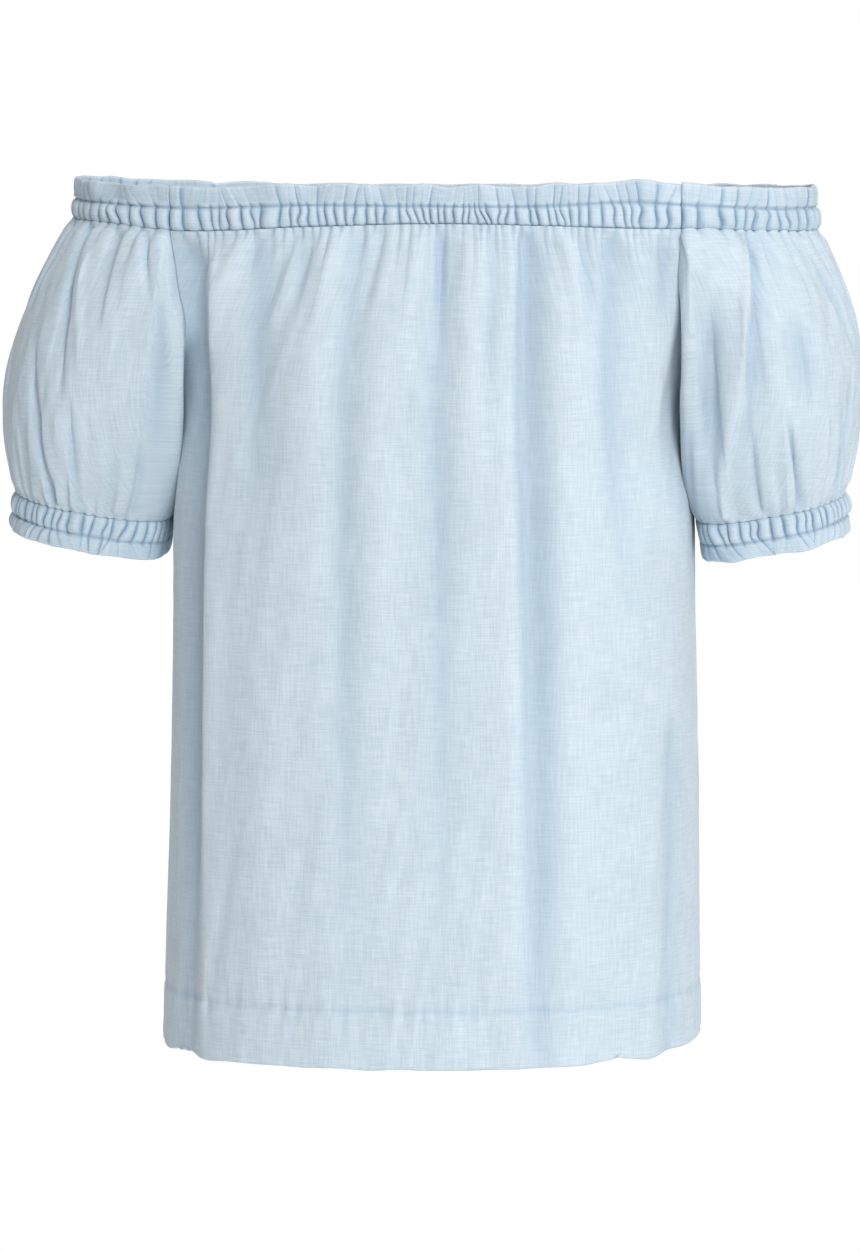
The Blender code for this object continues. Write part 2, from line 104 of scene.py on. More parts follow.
# How much higher or lower than level the foot and the top of the neck casing run, by the angle round the
# body in degrees
NeckPoint = namedtuple("NeckPoint", "angle foot top")
NECK_LINE = (
    NeckPoint(-180, 0.0000, 0.0000),
    NeckPoint(-125, 0.0012, 0.0010),
    NeckPoint(-90, 0.0046, 0.0040),
    NeckPoint(-74, 0.0022, 0.0006),
    NeckPoint(-61, -0.0020, -0.0022),
    NeckPoint(-34, -0.0003, -0.0012),
    NeckPoint(-6, 0.0014, -0.0017),
    NeckPoint(32, 0.0003, -0.0016),
    NeckPoint(48, -0.0011, 0.0004),
    NeckPoint(58, -0.0014, -0.0010),
    NeckPoint(72, -0.0030, -0.0030),
    NeckPoint(90, -0.0026, -0.0016),
    NeckPoint(130, -0.0008, 0.0000),
    NeckPoint(180, 0.0000, 0.0000),
)
LIFT_REACH = 0.080


def smooth(rows, column, at, key="height"):
    """A column of a table, read on a smooth curve through its rows at one or many places."""
    place = np.array([getattr(row, key) for row in rows], float)
    value = np.array([getattr(row, column) for row in rows], float)
    if place[0] > place[-1]:
        place, value = place[::-1], value[::-1]
    slope = np.gradient(value, place)
    at = np.clip(np.asarray(at, float), place[0], place[-1])
    i = np.clip(np.searchsorted(place, at) - 1, 0, len(place) - 2)
    step = place[i + 1] - place[i]
    t = (at - place[i]) / step
    return (
        (2 * t**3 - 3 * t**2 + 1) * value[i]
        + (t**3 - 2 * t**2 + t) * step * slope[i]
        + (3 * t**2 - 2 * t**3) * value[i + 1]
        + (t**3 - t**2) * step * slope[i + 1]
    )


def ease(t):
    """0 to 1 with level ends."""
    t = np.clip(t, 0, 1)
    return t * t * (3 - 2 * t)


def neck_lift(angle, line="foot", side=1):
    """How far the uneven neck line lifts the foot or the top of the casing."""
    degrees = np.degrees(side * angle) % 360
    degrees = np.where(degrees > 180, degrees - 360, degrees)
    return smooth(NECK_LINE, line, degrees, "angle")


def lift_fade(height):
    """How much of the neck line's lift is left further down the garment."""
    return 1 - ease((PANEL_TOP - height) / LIFT_REACH)


def unit(vectors):
    return vectors / np.linalg.norm(vectors, axis=-1, keepdims=True)


def body_point(angle, height, out=0.0, side=1):
    """A point of the body's section at this height. Side -1 is the mirrored body, for the right sleeve."""
    half_width = smooth(BODY, "half_width", height)
    front = smooth(BODY, "front", height)
    back = smooth(BODY, "back", height)
    n = smooth(BODY, "squareness", height)
    depth = np.where(np.cos(angle) > 0, front, back)
    radius = (np.abs(np.sin(angle) / half_width) ** n + np.abs(np.cos(angle) / depth) ** n) ** (-1 / n)
    radius = radius + out
    across = side * smooth(BODY, "across", height)
    return np.stack([across + radius * np.sin(angle), -radius * np.cos(angle), height + 0 * angle], axis=-1)


def level_normal(angle, height):
    """The body's outward direction in plan."""
    along = body_point(angle + 0.01, height) - body_point(angle - 0.01, height)
    return unit(np.stack([along[..., 1], -along[..., 0], 0 * along[..., 0]], axis=-1))


def raglan_angle(height, panel, side):
    """Angle from the middle of a panel to its raglan seam on one side, 1 at +X and -1 at -X."""
    half_width = smooth(BODY, "half_width", height)
    n = smooth(BODY, "squareness", height)
    depth = smooth(BODY, panel, height)
    out = smooth(RAGLAN, "out", height)
    if panel == "front":
        out = out + side * smooth(RAGLAN, "front_sway", height)
    share = np.where(height <= UNDERARM, 1.0, np.clip(out / half_width, 0, 1))
    return np.arctan2(share * half_width, depth * (1 - share**n) ** (1 / n))


def raglan_heights(rows):
    """Heights down the raglan seam, closer together towards the underarm."""
    share = np.linspace(0, 1, rows + 1)
    return PANEL_TOP + (UNDERARM - PANEL_TOP) * (1 - (1 - share) ** 2)


def ripple(u, v, seed, across, along, count=16):
    """Soft uneven waves about 1 high. Across and along are the shortest and longest wave, in metres."""
    draw = np.random.default_rng(seed)
    total = 0.0 * (u + v)
    for _ in range(count):
        turn = 2 * math.pi * draw.choice((-1, 1)) / draw.uniform(*across)
        climb = 2 * math.pi / draw.uniform(*along)
        total += np.sin(turn * u + climb * v + draw.uniform(0, 2 * math.pi))
    return total / math.sqrt(count / 2)


def gather_edges(count, seed):
    """Where the creases between gathers fall along an edge, from 0 to 1. Some gathers are twice as wide."""
    draw = np.random.default_rng(seed)
    width = draw.uniform(0.65, 1.35, count) * np.where(draw.random(count) < 0.12, 1.5, 1.0)
    return np.concatenate([[0], np.cumsum(width) / width.sum()])


def gather_columns(edges, steps):
    """Columns that stand in each crease and between creases."""
    places = [a + (b - a) * step for a, b in zip(edges[:-1], edges[1:]) for step in steps]
    return np.array(places + [edges[-1]])


def pucker(place, edges):
    """Roundness of the gather at each place, 0 in a crease and 1 in the middle, and which gather it is."""
    which = np.clip(np.searchsorted(edges, place, side="right") - 1, 0, len(edges) - 2)
    share = (place - edges[which]) / (edges[which + 1] - edges[which])
    return 1 - np.abs(2 * np.clip(share, 0, 1) - 1) ** 2.2, which


def surface_normals(grid, closed):
    """Outward unit normals of a grid. Seen from outside, columns go left to right and rows top to bottom."""
    if closed:
        right = np.roll(grid, -1, axis=1) - np.roll(grid, 1, axis=1)
    else:
        right = np.gradient(grid, axis=1)
    return unit(np.cross(np.gradient(grid, axis=0), right))


def make_cloth(name, outer, inner, uv, shade_and_highlight, material, closed=False):
    """A thin closed shell between two grids of points, with its folded top and foot rounded.

    The uv grid is in metres of cloth. The painted shade and highlight grid is -1 for the darkest painted
    shade in a crease and 1 for the palest painted highlight on a ridge.
    """
    thick = np.linalg.norm(outer - inner, axis=-1)
    top = (outer[0] + inner[0]) / 2 + unit(outer[0] - outer[1]) * thick[0][:, None] / 2
    foot = (outer[-1] + inner[-1]) / 2 + unit(outer[-1] - outer[-2]) * thick[-1][:, None] / 2
    ring = np.concatenate([top[None], outer, foot[None], inner[::-1]])
    rows, columns = ring.shape[:2]
    spans = columns if closed else columns - 1
    r, c = np.meshgrid(np.arange(rows), np.arange(spans), indexing="ij")
    r2, c2 = (r + 1) % rows, (c + 1) % columns
    faces = [r * columns + c, r2 * columns + c, r2 * columns + c2, r * columns + c2]
    faces = np.stack(faces, -1).reshape(-1, 4)
    if closed and uv.shape[1] == columns:
        uv = np.concatenate([uv, uv[:, -1:] * 2 - uv[:, -2:-1]], axis=1)
    row_uv = np.concatenate([uv[:1], uv, uv[-1:], uv[::-1]])
    corners = np.stack([row_uv[r, c], row_uv[r2, c], row_uv[r2, c + 1], row_uv[r, c + 1]], -2)
    mesh = bpy.data.meshes.new(name)
    ends = []
    if not closed:
        half = rows // 2
        for side in (0, columns - 1):
            for row in range(half - 1):
                a, b = row, row + 1
                d, e = (rows - row) % rows, rows - row - 1
                quad = [a * columns + side, d * columns + side, e * columns + side, b * columns + side]
                quad = list(dict.fromkeys(quad))
                ends.append(quad[::-1] if side else quad)
    mesh.from_pydata(ring.reshape(-1, 3).tolist(), [], faces.tolist() + ends)
    layer = mesh.uv_layers.new(name="cloth")
    flat = np.zeros((len(mesh.loops), 2))
    flat[: faces.size] = corners.reshape(-1, 2)
    layer.data.foreach_set("uv", flat.ravel())
    ring_shade_and_highlight = np.concatenate([shade_and_highlight[:1], shade_and_highlight, shade_and_highlight[-1:], shade_and_highlight[::-1]])
    mesh.attributes.new("shade_and_highlight", "FLOAT", "POINT").data.foreach_set("value", ring_shade_and_highlight.ravel())
    mesh.shade_smooth()
    mesh.materials.append(material)
    made = bpy.data.objects.new(name, mesh)
    bpy.context.scene.collection.objects.link(made)
    return made


def hex_colour(code):
    """An sRGB hex colour as linear red, green, blue and alpha."""
    parts = [int(code[i : i + 2], 16) / 255 for i in (1, 3, 5)]
    return [p / 12.92 if p <= 0.04045 else ((p + 0.055) / 1.055) ** 2.4 for p in parts] + [1.0]


def add_node(tree, kind, settings, links=()):
    """A node with its settings, by property or socket name, and its links as (socket, source)."""
    made = tree.nodes.new(kind)
    for name, value in settings.items():
        if isinstance(name, str) and hasattr(made, name):
            setattr(made, name, value)
        else:
            made.inputs[name].default_value = value
    for socket, source in links:
        tree.links.new(source, made.inputs[socket])
    return made


# Real threads are about 0.35 mm apart, too fine for the picture, so they are drawn 0.9 mm apart
THREAD_PITCH = 0.0009
SLUB_LENGTH = 0.016


def woven_chambray(name, warp, weft, shade_blue, painted_highlight, shade_strength):
    """Woven cotton-type chambray: dry, faintly napped, of pale and blue threads, with painted shade and a
    painted
    highlight: darker blue in its creases and paler on its ridges.
    """
    material = bpy.data.materials.new(name)
    material.use_nodes = True
    tree = material.node_tree
    surface = tree.nodes["Principled BSDF"]
    surface.inputs["Roughness"].default_value = 0.88
    surface.inputs["Specular IOR Level"].default_value = 0.25
    surface.inputs["Sheen Weight"].default_value = 0.18
    surface.inputs["Sheen Roughness"].default_value = 0.45
    cloth = add_node(tree, "ShaderNodeUVMap", {"uv_map": "cloth"})
    threads = []
    for scale in ((1 / THREAD_PITCH, 1 / SLUB_LENGTH, 1), (1 / SLUB_LENGTH, 1 / THREAD_PITCH, 1)):
        laid = add_node(tree, "ShaderNodeMapping", {"Scale": scale}, [("Vector", cloth.outputs["UV"])])
        threads.append(
            add_node(
                tree,
                "ShaderNodeTexNoise",
                {"noise_dimensions": "2D", "Scale": 1.0, "Detail": 1.5, "Roughness": 0.6},
                [("Vector", laid.outputs["Vector"])],
            )
        )
    weave = add_node(
        tree,
        "ShaderNodeMath",
        {"operation": "ADD"},
        [(0, threads[0].outputs["Fac"]), (1, threads[1].outputs["Fac"])],
    )
    contrast = add_node(
        tree,
        "ShaderNodeMapRange",
        {"From Min": 0.62, "From Max": 1.38, "To Min": 0.0, "To Max": 1.0},
        [("Value", weave.outputs["Value"])],
    )
    mixed = add_node(
        tree,
        "ShaderNodeMix",
        {"data_type": "RGBA", 6: hex_colour(warp), 7: hex_colour(weft)},
        [(0, contrast.outputs["Result"])],
    )
    wash = add_node(
        tree,
        "ShaderNodeTexNoise",
        {"noise_dimensions": "2D", "Scale": 22.0, "Detail": 3.0, "Roughness": 0.55},
        [("Vector", cloth.outputs["UV"])],
    )
    wash_range = add_node(
        tree,
        "ShaderNodeMapRange",
        {"From Min": 0.3, "From Max": 0.7, "To Min": 0.975, "To Max": 1.025},
        [("Value", wash.outputs["Fac"])],
    )
    washed = add_node(
        tree,
        "ShaderNodeVectorMath",
        {"operation": "SCALE"},
        [(0, mixed.outputs[2]), ("Scale", wash_range.outputs["Result"])],
    )
    # Painted shade and highlight: creases are mixed towards a darker blue for shade, and ridges towards a
    # paler tone for highlight.
    shade_and_highlight = add_node(tree, "ShaderNodeAttribute", {"attribute_name": "shade_and_highlight"})
    low = add_node(
        tree,
        "ShaderNodeMapRange",
        {"From Min": 0.0, "From Max": -1.0, "To Min": 0.0, "To Max": shade_strength},
        [("Value", shade_and_highlight.outputs["Fac"])],
    )
    high = add_node(
        tree,
        "ShaderNodeMapRange",
        {"From Min": 0.0, "From Max": 1.0, "To Min": 0.0, "To Max": 0.45},
        [("Value", shade_and_highlight.outputs["Fac"])],
    )
    painted_shade_mix = add_node(
        tree,
        "ShaderNodeMix",
        {"data_type": "RGBA", 7: hex_colour(shade_blue)},
        [(0, low.outputs["Result"]), (6, washed.outputs["Vector"])],
    )
    painted_highlight_mix = add_node(
        tree,
        "ShaderNodeMix",
        {"data_type": "RGBA", 7: hex_colour(painted_highlight)},
        [(0, high.outputs["Result"]), (6, painted_shade_mix.outputs[2])],
    )
    relief = add_node(
        tree,
        "ShaderNodeBump",
        {"Strength": 0.35, "Distance": 0.0002},
        [("Height", weave.outputs["Value"])],
    )
    tree.links.new(painted_highlight_mix.outputs[2], surface.inputs["Base Color"])
    tree.links.new(relief.outputs["Normal"], surface.inputs["Normal"])
    return material


# Its last three settings paint light: the darker blue of the painted shade in creases, the pale tone of the
# painted highlight on ridges, and how strong the painted shade is.
chambray = woven_chambray("woven_chambray", "#b4c6d2", "#cad6de", "#84a2ba", "#dde4e9", 0.55)

# Folds that hang from the neck gathers. Angles are from the middle of the panel, growing to the right as
# seen from outside, and heights are where the fold starts and where it has gone. Left and right are its
# half-widths, so a small one is a sharp crease on that side. A negative depth is a ridge.
Fold = namedtuple("Fold", "top_angle low_angle left right depth start end")
FRONT_FOLDS = (
    Fold(-56, -60, 0.016, 0.009, 0.0075, -0.012, -0.640),
    Fold(-50, -55, 0.004, 0.011, -0.0040, -0.015, -0.640),
    Fold(-50, -49, 0.004, 0.006, 0.0022, -0.007, -0.045),
    Fold(-42, -38, 0.007, 0.012, 0.0034, -0.007, -0.230),
    Fold(-33, -31, 0.004, 0.007, 0.0024, -0.007, -0.075),
    Fold(-26, -26, 0.014, 0.014, -0.0010, -0.020, -0.420),
    Fold(-20, -17, 0.007, 0.013, 0.0024, -0.007, -0.600),
    Fold(-9, -8, 0.013, 0.016, -0.0008, -0.020, -0.500),
    Fold(2.5, 5.5, 0.003, 0.0045, 0.0032, -0.007, -0.085),
    Fold(4, 6, 0.008, 0.011, 0.0026, -0.007, -0.520),
    Fold(11, 12, 0.010, 0.010, -0.0016, -0.012, -0.200),
    Fold(17, 17.5, 0.006, 0.010, 0.0024, -0.007, -0.170),
    Fold(22, 23, 0.012, 0.006, -0.0018, -0.012, -0.560),
    Fold(26, 30, 0.008, 0.010, 0.0068, -0.008, -0.640),
    Fold(33, 37, 0.008, 0.014, -0.0012, -0.012, -0.500),
    Fold(38, 40, 0.004, 0.006, 0.0028, -0.007, -0.080),
    Fold(43.5, 49, 0.006, 0.009, 0.0038, -0.007, -0.260),
    Fold(53.5, 58, 0.006, 0.005, 0.0046, -0.007, -0.075),
    Fold(57.5, 60, 0.008, 0.005, -0.0032, -0.007, -0.160),
    Fold(64, 62, 0.010, 0.012, 0.0032, -0.280, -0.700),
)
BACK_FOLDS = (
    Fold(-56, -60, 0.010, 0.008, 0.0050, -0.007, -0.500),
    Fold(-49, -50, 0.006, 0.012, -0.0030, -0.010, -0.500),
    Fold(-41, -39, 0.006, 0.011, 0.0040, -0.007, -0.420),
    Fold(-33, -33, 0.013, 0.010, -0.0024, -0.010, -0.300),
    Fold(-26, -25, 0.003, 0.005, 0.0026, -0.007, -0.090),
    Fold(-21, -19, 0.010, 0.006, 0.0040, -0.007, -0.260),
    Fold(-9, -8, 0.006, 0.012, 0.0038, -0.007, -0.560),
    Fold(0, 1, 0.013, 0.009, -0.0024, -0.010, -0.340),
    Fold(5, 6, 0.003, 0.005, 0.0028, -0.007, -0.110),
    Fold(11, 10, 0.012, 0.007, 0.0042, -0.007, -0.380),
    Fold(19, 19, 0.007, 0.012, -0.0024, -0.015, -0.520),
    Fold(25, 27, 0.008, 0.012, 0.0062, -0.007, -0.640),
    Fold(33, 34, 0.011, 0.010, -0.0024, -0.010, -0.280),
    Fold(38, 40, 0.004, 0.008, 0.0030, -0.007, -0.160),
    Fold(46, 48, 0.011, 0.006, -0.0026, -0.012, -0.400),
    Fold(53, 57, 0.008, 0.011, 0.0058, -0.007, -0.520),
)


def fold_out(folds, angle, height):
    """How far the folds move a panel outwards."""
    out = np.zeros(np.broadcast(angle, height).shape)
    radius = 0.5 * (smooth(BODY, "half_width", height) + smooth(BODY, "front", height))
    for fold in folds:
        below = (fold.start - height) / (fold.start - fold.end)
        middle = np.radians(fold.top_angle + (fold.low_angle - fold.top_angle) * np.clip(below, 0, 1))
        across = (angle - middle) * radius
        across = across / np.where(across < 0, fold.left, fold.right)
        strength = ease((fold.start - height) / 0.022 + 0.3) * (1 - ease((below - 0.3) / 0.7))
        out -= fold.depth * np.exp(-np.abs(across) ** 1.7) * strength
    return out


GATHER_PITCH = 0.0063
GATHER_RISE = 0.0016
GATHER_STEPS = (0.0, 0.10, 0.36, 0.64, 0.90)
RAGLAN_ROWS = 70
STRAIGHT_ROWS = 72
HEM_ROWS = 22
STITCH_GROOVE = 0.0004
# How far the cloth blouses out below the casing, and how much thicker and fuller its turned-up foot is
BLOUSE = 0.0014
HEM_THICKER = 0.0009
HEM_FULLER = 0.0004
# Mean of the neck's half-width and half-depth
NECK_RADIUS = 0.164
# Uneven waves of the cloth: how high, and the shortest and longest wave across and along, in metres
Wave = namedtuple("Wave", "height across along")
UNDER_GATHERS = Wave(0.0008, (0.011, 0.024), (0.08, 0.30))
BROAD_SWELL = Wave(0.0004, (0.035, 0.075), (0.25, 0.9))
SMALL_CREASES = Wave(0.00014, (0.008, 0.024), (0.03, 0.12))
HEM_PUCKER = Wave(0.00035, (0.007, 0.016), (0.03, 0.09))
HEM_EDGE = Wave(0.0006, (0.03, 0.09), (1, 2))


def wave_ripple(wave, u, v, seed):
    return ripple(u, v, seed, wave.across, wave.along)


def panel_edges(panel):
    """Where the gathers of a panel's top edge meet."""
    ring = raglan_angle(PANEL_TOP, panel, 1) * NECK_RADIUS
    return gather_edges(round(2 * ring / GATHER_PITCH), 11 if panel == "front" else 12)


def make_panel(name, panel, folds, seed):
    """A panel as a grid: down the raglan seams, down the side seams, then the turned-up hem."""
    middle = 0.0 if panel == "front" else math.pi
    start_side = -1 if panel == "front" else 1
    stitch = HEM + HEM_DEPTH
    straight = np.linspace(UNDERARM, stitch, STRAIGHT_ROWS + 1)[1:]
    hem = np.linspace(stitch, HEM, HEM_ROWS + 1)[1:]
    close = PANEL_TOP + (UNDERARM - PANEL_TOP) * np.linspace(0, 1, RAGLAN_ROWS + 1) ** 1.35
    seam_heights = np.concatenate([raglan_heights(RAGLAN_ROWS), straight, hem])[:, None]
    heights = np.concatenate([close, straight, hem])[:, None]
    edges = panel_edges(panel)
    places = gather_columns(edges, GATHER_STEPS)
    share = 2 * places[None, :] - 1
    near_seam = share**4
    inset = (SEAM_GAP / 2) / smooth(BODY, "half_width", seam_heights)
    start = raglan_angle(seam_heights, panel, start_side) - inset
    end = raglan_angle(seam_heights, panel, -start_side) - inset
    edge = np.where(share < 0, start, end)
    angle = share * EVEN_ANGLE + share * np.abs(share) * (edge - EVEN_ANGLE)
    heights = heights + (seam_heights - heights) * near_seam
    inside_edge = 1 - np.abs(share) ** 24
    along = angle * 0.5 * (smooth(BODY, "half_width", heights) + smooth(BODY, "front", heights))
    below = PANEL_TOP - heights
    draw = np.random.default_rng(seed)
    bump, which = pucker(places, edges)
    rise = draw.uniform(0.5, 1.25, len(edges))[which][None, :]
    fade = (0.005 + 0.022 * draw.random(len(edges)) ** 3)[which][None, :]
    gathers = GATHER_RISE * bump[None, :] * rise * np.exp(-below / fade) * inside_edge
    wide = UNDER_GATHERS.height * wave_ripple(UNDER_GATHERS, along, heights, seed + 1)
    wide = wide * np.exp(-below / 0.030)
    broad = wave_ripple(BROAD_SWELL, along, heights, seed + 2)
    broad = broad * (BROAD_SWELL.height * np.exp(-below / 0.15) + BROAD_SWELL.height)
    small = SMALL_CREASES.height * wave_ripple(SMALL_CREASES, along, heights, seed + 3)
    blouse = BLOUSE * ease(below / 0.012) * np.exp(-below / 0.05)
    folds_out = fold_out(folds, angle, heights)
    soft = (wide + broad + blouse + folds_out) * ease(below / 0.008) * inside_edge
    from_stitch = (heights - stitch) / 0.003
    groove = -STITCH_GROOVE * np.exp(-(from_stitch**2))
    hem_ripple = HEM_PUCKER.height * wave_ripple(HEM_PUCKER, along, heights, seed + 4)
    hem_ripple = hem_ripple * np.exp(-np.abs(heights - stitch) / 0.010)
    turned = HEM_FULLER * ease((stitch - heights) / 0.003)
    out = gathers + soft + small + groove + hem_ripple + turned
    outer = body_point(middle + angle, heights, out)
    outer[..., 2] += neck_lift(middle + angle) * lift_fade(heights)
    low = np.clip((HEM + 2 * HEM_DEPTH - heights) / (2 * HEM_DEPTH), 0, 1)
    outer[..., 2] += HEM_SIDE_RISE * low**2 * np.abs(share) ** 10
    outer[..., 2] += HEM_LEFT_RISE * low**2 * ease(outer[..., 0] / smooth(BODY, "half_width", HEM))
    outer[-1, :, 2] += HEM_EDGE.height * wave_ripple(HEM_EDGE, along[-1], 0, seed + 5)
    thick = CLOTH + HEM_THICKER * ease((stitch - heights) / 0.0015)
    normal = surface_normals(outer, False)
    normal[0] = level_normal(middle + angle[0], heights[0])
    inner = outer - thick[..., None] * normal
    inner[0, :, 2] = outer[0, :, 2]
    # Painted shade and highlight: darker in the creases between the neck gathers, in fold valleys and along
    # the hem's stitch line, paler on the gathers' tops and on fold ridges.
    shade_and_highlight = np.clip((bump[None, :] - 0.75) * np.exp(-below / (0.6 * fade)), -1, 0.3)
    shade_and_highlight = shade_and_highlight + np.clip(folds_out / 0.006, -0.6, 0.3)
    shade_and_highlight = shade_and_highlight - 0.35 * np.exp(-((from_stitch / 0.5) ** 2))
    uv = np.stack([along + 0 * heights, outer[..., 2]], axis=-1)
    made = make_cloth(name, outer, inner, uv, np.clip(shade_and_highlight, -1, 1), chambray)
    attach(made, "root")
    return made


front = make_panel("front_cloth", "front", FRONT_FOLDS, 21)
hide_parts("front_panel")
back = make_panel("back_cloth", "back", BACK_FOLDS, 41)
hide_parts("back_panel")

# Raglan sleeves. Each is one width of the same chambray, closed under the arm, gathered into the neck
# casing over its top and into the cuff at its foot, so that it puffs between them.
CUFF_HEIGHT = -0.1720
# Both cuffs are as long round, and the left one is pressed a little rounder by the body
CuffRing = namedtuple("CuffRing", "out half_width half_depth")
CUFF_RINGS = {1: CuffRing(0.1886, 0.0428, 0.0488), -1: CuffRing(-0.2040, 0.0462, 0.0460)}
# The side of a cuff that lies against the body is flatter and smoother
CUFF_FLATNESS = 1.2
CUFF_CALM = 0.75
CUFF_TILT_OUT = math.radians(9.5)
CUFF_TILT_FRONT = math.radians(5.5)
SIDE_GATHERS = 28
SLEEVE_STEPS = (0.0, 0.07, 0.22, 0.40, 0.60, 0.78, 0.93)
CUFF_GATHERS = 48
SLEEVE_ROWS = 112
ARMHOLE_ROWS = 32

# Folds of a sleeve, by the share of the way round (from the front seam over the outside) at their start
# and end, and by the share of the way down from the casing (0) to the cuff (1). Before and after are
# their half-widths on the two sides, as shares of the way round.
SleeveFold = namedtuple("SleeveFold", "round low_round before after depth start end")
LEFT_FOLDS = (
    SleeveFold(0.095, 0.010, 0.0100, 0.0035, -0.0044, -0.05, 0.98),
    SleeveFold(0.108, 0.026, 0.0035, 0.0170, 0.0044, -0.05, 0.90),
    SleeveFold(0.035, -0.002, 0.0150, 0.0110, 0.0060, 0.22, 0.96),
    SleeveFold(-0.018, -0.045, 0.0070, 0.0050, 0.0042, 0.55, 1.05),
    SleeveFold(0.018, 0.000, 0.0030, 0.0060, -0.0024, 0.70, 1.05),
    SleeveFold(0.058, 0.055, 0.0070, 0.0030, 0.0044, 0.66, 1.05),
    SleeveFold(0.118, 0.147, 0.0035, 0.0080, 0.0046, 0.62, 1.05),
    SleeveFold(0.190, 0.190, 0.0100, 0.0060, -0.0022, 0.60, 1.05),
    SleeveFold(0.232, 0.243, 0.0070, 0.0050, 0.0042, 0.62, 1.05),
    SleeveFold(0.238, 0.285, 0.0080, 0.0040, 0.0048, 0.06, 0.55),
    SleeveFold(0.158, 0.158, 0.0150, 0.0150, 0.0034, 0.30, 0.72),
    SleeveFold(0.268, 0.240, 0.0100, 0.0080, 0.0034, 0.52, 1.00),
    SleeveFold(0.145, 0.140, 0.0035, 0.0070, 0.0024, -0.05, 0.26),
    SleeveFold(0.185, 0.195, 0.0040, 0.0080, 0.0020, -0.05, 0.34),
    SleeveFold(0.330, 0.330, 0.0100, 0.0060, 0.0042, -0.05, 0.55),
    SleeveFold(0.360, 0.370, 0.0080, 0.0060, 0.0040, 0.50, 1.05),
    SleeveFold(0.415, 0.400, 0.0060, 0.0120, 0.0044, -0.05, 0.60),
    SleeveFold(0.470, 0.480, 0.0060, 0.0080, 0.0040, 0.45, 1.05),
    SleeveFold(0.520, 0.515, 0.0100, 0.0060, 0.0040, -0.05, 0.50),
    SleeveFold(0.560, 0.570, 0.0070, 0.0060, 0.0036, 0.55, 1.05),
    SleeveFold(0.640, 0.640, 0.0070, 0.0100, 0.0042, -0.05, 0.70),
)
RIGHT_FOLDS = (
    SleeveFold(0.180, 0.115, 0.0045, 0.0130, 0.0050, -0.05, 0.72),
    SleeveFold(0.155, 0.095, 0.0120, 0.0050, -0.0016, 0.05, 0.60),
    SleeveFold(0.205, 0.135, 0.0060, 0.0090, 0.0044, 0.40, 1.05),
    SleeveFold(0.115, 0.085, 0.0060, 0.0060, 0.0030, 0.58, 1.05),
    SleeveFold(0.040, 0.035, 0.0070, 0.0060, 0.0018, 0.70, 1.05),
    SleeveFold(0.000, -0.005, 0.0060, 0.0060, 0.0026, 0.68, 1.05),
    SleeveFold(0.048, 0.000, 0.0035, 0.0070, 0.0030, -0.05, 0.36),
    SleeveFold(0.260, 0.255, 0.0060, 0.0100, 0.0040, -0.05, 0.50),
    SleeveFold(0.100, 0.078, 0.0080, 0.0090, 0.0020, -0.05, 0.48),
    SleeveFold(-0.012, -0.015, 0.0130, 0.0130, 0.0036, 0.10, 0.90),
    SleeveFold(0.330, 0.335, 0.0060, 0.0090, 0.0042, -0.05, 0.60),
    SleeveFold(0.370, 0.360, 0.0080, 0.0060, 0.0036, 0.50, 1.05),
    SleeveFold(0.420, 0.410, 0.0100, 0.0060, 0.0044, -0.05, 0.55),
    SleeveFold(0.480, 0.485, 0.0060, 0.0070, 0.0036, 0.48, 1.05),
    SleeveFold(0.535, 0.530, 0.0060, 0.0110, 0.0040, -0.05, 0.62),
    SleeveFold(0.600, 0.605, 0.0070, 0.0060, 0.0034, 0.55, 1.05),
    SleeveFold(0.655, 0.650, 0.0110, 0.0070, 0.0040, -0.05, 0.60),
)
Pull = namedtuple("Pull", "angle leave_out leave_down reach_in reach_down")
SLEEVE_PULLS = (
    Pull(-28, 0.080, 0.080, 0.080, 0.120),
    Pull(20, 0.095, 0.100, 0.105, 0.140),
    Pull(90, 0.086, 0.120, 0.080, 0.170),
    Pull(160, 0.095, 0.100, 0.105, 0.140),
    Pull(208, 0.070, 0.080, 0.080, 0.120),
    Pull(240, 0.050, 0.060, 0.035, 0.070),
    Pull(270, 0.002, 0.050, 0.000, 0.050),
    Pull(300, 0.060, 0.060, 0.045, 0.070),
    Pull(332, 0.080, 0.080, 0.080, 0.120),
)
# Where the front and the back raglan seam reach the neck, and over how much of a turn below them a sleeve
# stops following the neck and starts to follow the arm
FRONT_CORNER = -28
BACK_CORNER = 208
CORNER_TURN = math.radians(45)
# The share of a sleeve's rows that is drawn together towards its two ends
EASED_ROWS = 0.35
SLEEVE_BLOUSE = 0.0012
CUFF_GATHER_RISE = 0.0013
BESIDE_GATHERS = Wave(0.0009, (0.013, 0.026), (0.08, 0.30))
SLEEVE_SWELL = Wave(0.0006, (0.03, 0.07), (0.08, 0.4))
SLEEVE_CREASES = Wave(0.00016, (0.010, 0.026), (0.02, 0.08))


def raglan_normal(height, panel, side):
    """The sleeve's outward direction at the raglan seam, turning back to the body at the underarm."""
    angle = raglan_angle(height, panel, side)
    angle = math.pi - angle if panel == "back" else angle
    turn = ease((PANEL_TOP - height) / (PANEL_TOP - UNDERARM)) ** 1.5
    turn = turn[..., None]
    return unit(level_normal(angle, height) * (1 - turn) + np.array([-0.7, 0, -0.7]) * turn)


def cuff_frame(side):
    """Centre and axes of a cuff: across (outwards), back, and up the arm. Side is 1 at +X and -1 at -X."""
    across = np.array([math.cos(CUFF_TILT_OUT), 0, math.sin(CUFF_TILT_OUT)])
    back_way = np.array([0, math.cos(CUFF_TILT_FRONT), math.sin(CUFF_TILT_FRONT)])
    up = unit(np.cross(across, back_way))
    mirror = np.array([side, 1, 1])
    centre = np.array([CUFF_RINGS[side].out, 0, CUFF_HEIGHT])
    return centre, across * mirror, back_way, up * mirror


